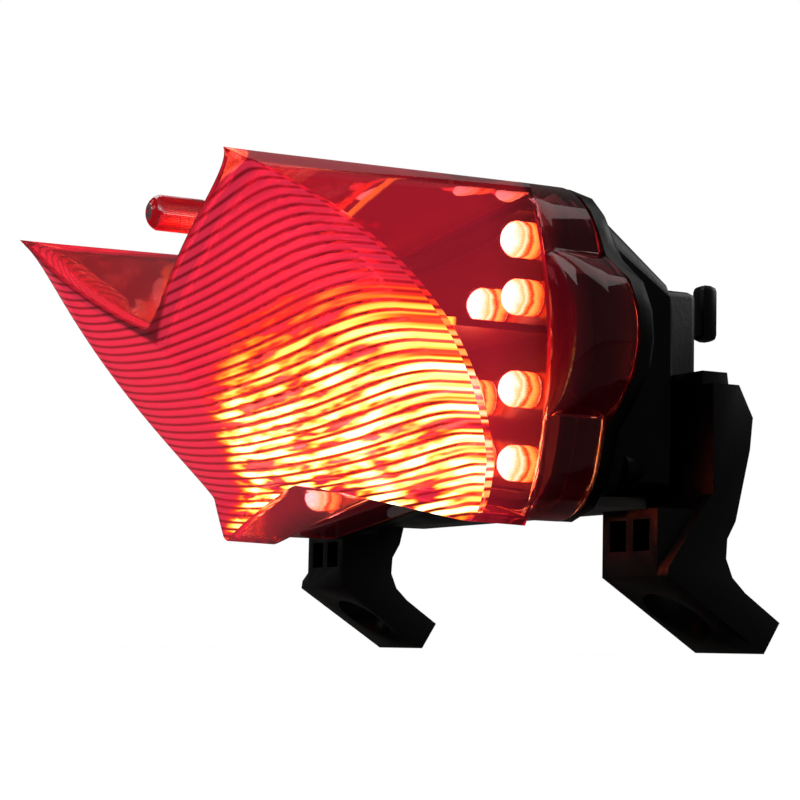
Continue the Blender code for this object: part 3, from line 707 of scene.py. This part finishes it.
# The rear face has the fluted material on both sides of the wall, so the smooth outer side shows the flutes
# as painted light and shade; the lip's faces come last and are plain.
lens.data.materials.append(red_clear)
lens.data.materials.append(red_flutes)
lip_faces = len(lens.data.polygons) - 2 * len(on_face)
lens.data.polygons.foreach_set("material_index", on_face * 2 + [0] * lip_faces)
for piece in (peg, fin):
    piece.data.materials.clear()
    piece.data.materials.append(red_clear)
lens = join(lens, peg, fin)
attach(lens, "root")
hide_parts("lens")


# Housing and legs: injection mouldings in black ABS, with rounded edges and a fine satin grain.
# The housing closes the lens's front; a leg is screwed to its front at each side.

EDGE_ROUNDING = 0.5 * MM


def rounded_copy(node, name):
    """A copy of a CAD node with its flat faces whole again and its sharp edges rounded."""
    deselect()
    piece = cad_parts[node].copy()
    piece.data = piece.data.copy()
    bpy.context.scene.collection.objects.link(piece)
    piece.name = piece.data.name = name
    piece.select_set(True)
    bpy.context.view_layer.objects.active = piece
    bpy.ops.object.mode_set(mode="EDIT")
    bpy.ops.mesh.select_all(action="SELECT")
    bpy.ops.mesh.remove_doubles(threshold=0.02 * MM)
    bpy.ops.mesh.dissolve_limited(angle_limit=math.radians(1.0))
    bpy.ops.object.mode_set(mode="OBJECT")
    bevel = piece.modifiers.new("rounding", "BEVEL")
    bevel.width = EDGE_ROUNDING
    bevel.segments = 3
    bevel.limit_method = "ANGLE"
    bevel.angle_limit = math.radians(32)
    bpy.ops.object.modifier_apply(modifier=bevel.name)
    bpy.ops.object.shade_smooth_by_angle(angle=math.radians(30))
    return piece


black_abs, tree, shader = new_material(
    "moulded black ABS",
    {"Base Color": hex_colour("#0D0607"), "Roughness": 0.36, "IOR": 1.53, "Specular IOR Level": 0.35},
)
fine_grain(tree, shader, 0.714 * MM, 2.0, 0.12, 0.2 * MM)

for node in ("housing", "left_leg", "right_leg"):
    piece = rounded_copy(node, node + "_moulding")
    piece.data.materials.clear()
    piece.data.materials.append(black_abs)
    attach(piece, "root")
    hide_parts(node)


# Lens seal and wire bush: moulded in black EPDM rubber, dull with a very fine grain.
# The seal lies between the lens and the housing, the bush is pressed into the housing's wire inlet.

def finish_nodes(names, made):
    """Gives CAD nodes a material."""
    for name in names:
        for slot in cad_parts[name].material_slots:
            slot.material = made


seal_rubber, tree, shader = new_material(
    "moulded EPDM rubber", {"Base Color": hex_colour("#151313"), "Roughness": 0.75}
)
fine_grain(tree, shader, 0.4 * MM, 2.0, 0.1, 0.1 * MM)
finish_nodes(["lens_seal", "wire_inlet_bush"], seal_rubber)


# LED carrier: a moulded polycarbonate plate with a reflector shelf, screwed in front of the board.
# Its colour is painted dark red as painted shade for the dark inside of the red lens, and the LEDs' light on
# the shelf's rear edge is painted on as a yellow glow.

SHELF_EDGE = (1.5 * MM, 0.6 * MM)
# The dark red base colour is painted shade; the emission is painted light at the shelf's rear edge.
carrier_painted_shade_and_light, tree, shader = new_material(
    "glossy polycarbonate with painted shade and light",
    {
        "Base Color": hex_colour("#4A1C1C"),
        "Roughness": 0.25,
        "IOR": 1.58,
        "Emission Color": hex_colour("#FFD848"),
    },
)
coords = fine_grain(tree, shader, 4.55 * MM, 2.0, 0.1, 0.2 * MM)
split = add_node(tree, "ShaderNodeSeparateXYZ", {}, {"Vector": coords})
shelf_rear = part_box("led_carrier")[0][1]
# Painted light: a yellow glow along the shelf's rear edge.
painted_shelf_light = add_node(
    tree,
    "ShaderNodeMapRange",
    {
        "From Min": shelf_rear + SHELF_EDGE[0],
        "From Max": shelf_rear + SHELF_EDGE[1],
        "To Min": 0.01,
        "To Max": 9.0,
    },
    {"Value": split.outputs["Y"]},
)
set_glow(tree, shader, 0.05, 1.0, painted_shelf_light.outputs["Result"])
finish_nodes(["led_carrier"], carrier_painted_shade_and_light)


# Circuit board: glass epoxy under green solder mask, slightly mottled by the weave below it.
# Resistors: leaded, in blue lacquer. Both are hidden behind the LED carrier.

def finish_mottled(names, material_name, size, dark, light):
    """Gives CAD nodes a satin coat that is mottled between two colours."""
    made, tree, shader = new_material(material_name, {"Roughness": 0.35})
    coords = add_node(tree, "ShaderNodeTexCoord", {}, {})
    mottle = add_node(tree, "ShaderNodeTexNoise", {"Scale": 1 / size}, {"Vector": coords.outputs["Object"]})
    tint = add_node(
        tree, "ShaderNodeValToRGB", {"stops": [(0.3, dark), (0.7, light)]}, {"Fac": mottle.outputs["Fac"]}
    )
    tree.links.new(tint.outputs["Color"], shader.inputs["Base Color"])
    finish_nodes(names, made)


resistors = [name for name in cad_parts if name.startswith("resistor_")]
finish_mottled(["circuit_board"], "solder mask on glass epoxy", 2.0 * MM, "#0B3A1B", "#14602C")
finish_mottled(resistors, "blue resistor lacquer", 1.43 * MM, "#3E7CA8", "#5A97BE")


# Screws: cold-headed steel with bright zinc plating, of an uneven shine.
# They hold the carrier with the board, and the legs.

PLATING_PATCH = 1.11 * MM
zinc, tree, shader = new_material(
    "zinc-plated steel", {"Metallic": 1.0, "Base Color": hex_colour("#B9BCC0")}
)
coords = add_node(tree, "ShaderNodeTexCoord", {}, {})
patches = add_node(
    tree, "ShaderNodeTexNoise", {"Scale": 1 / PLATING_PATCH}, {"Vector": coords.outputs["Object"]}
)
shine = add_node(
    tree, "ShaderNodeMapRange", {"To Min": 0.25, "To Max": 0.5}, {"Value": patches.outputs["Fac"]}
)
tree.links.new(shine.outputs["Result"], shader.inputs["Roughness"])
finish_nodes([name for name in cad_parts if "_screw_" in name], zinc)


# LEDs: round 5 mm types, cast in clear epoxy, each a dome on a barrel with a rim at its foot. They are lit:
# white at the tip, yellow along the barrel with dark bands where the die cup's edges show, white at the rim.

LED_RADIUS = 2.5 * MM
LED_TIP_RADIUS = 2.3 * MM
LED_RIM_DEPTH = 1.0 * MM
LED_SPARKLE = 1.92 * MM
led_names = sorted(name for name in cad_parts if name.startswith("led_") and name != "led_carrier")
led_low, led_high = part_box(led_names[0])
led_tip, led_base = led_low[1], led_high[1]
rim_radius = (led_high[0] - led_low[0]) / 2

led_epoxy, tree, shader = new_material(
    "lit clear epoxy", {"Base Color": hex_colour("#FFD9A0"), "Roughness": 0.1}
)
coords = add_node(tree, "ShaderNodeTexCoord", {}, {})
split = add_node(tree, "ShaderNodeSeparateXYZ", {}, {"Vector": coords.outputs["Object"]})
along = add_node(
    tree,
    "ShaderNodeMapRange",
    {"From Min": led_tip, "From Max": led_base, "To Min": -0.08, "To Max": 0.92},
    {"Value": split.outputs["Y"]},
)
sparkle = add_node(
    tree, "ShaderNodeTexNoise", {"Scale": 1 / LED_SPARKLE}, {"Vector": coords.outputs["Object"]}
)
uneven = add_node(
    tree,
    "ShaderNodeMath",
    {"operation": "MULTIPLY_ADD", 1: 0.16},
    {0: sparkle.outputs["Fac"], 2: along.outputs["Result"]},
)
light = add_node(
    tree,
    "ShaderNodeValToRGB",
    {
        "stops": [
            (0.0, "#FFFFFF"),
            (0.14, "#FFF8E0"),
            (0.26, "#FFB860"),
            (0.33, "#FFF0C0"),
            (0.42, "#FF8028"),
            (0.48, "#300A04"),
            (0.56, "#FFB050"),
            (0.69, "#FF7020"),
            (0.75, "#1C0402"),
            (0.84, "#FFD898"),
        ]
    },
    {"Fac": uneven.outputs["Value"]},
)
tree.links.new(light.outputs["Color"], shader.inputs["Emission Color"])
set_glow(tree, shader, 0.2, 8.0)

dome = rod(40, LED_RADIUS, led_tip, led_base, 0.0)
round_rear_end(dome, LED_TIP_RADIUS, 8)
rim = rod(40, rim_radius, led_base - LED_RIM_DEPTH, led_base, 0.0)
round_edges(0.2 * MM)
model = join(dome, rim)
bpy.ops.object.shade_smooth_by_angle(angle=math.radians(40))
model.data.materials.clear()
model.data.materials.append(led_epoxy)
for name in led_names:
    low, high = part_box(name)
    piece = bpy.data.objects.new(name + "_lamp", model.data.copy())
    bpy.context.scene.collection.objects.link(piece)
    for vert in piece.data.vertices:
        vert.co.x += (low[0] + high[0]) / 2
        vert.co.z += (low[2] + high[2]) / 2
    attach(piece, "root")
    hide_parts(name)
bpy.data.objects.remove(model)
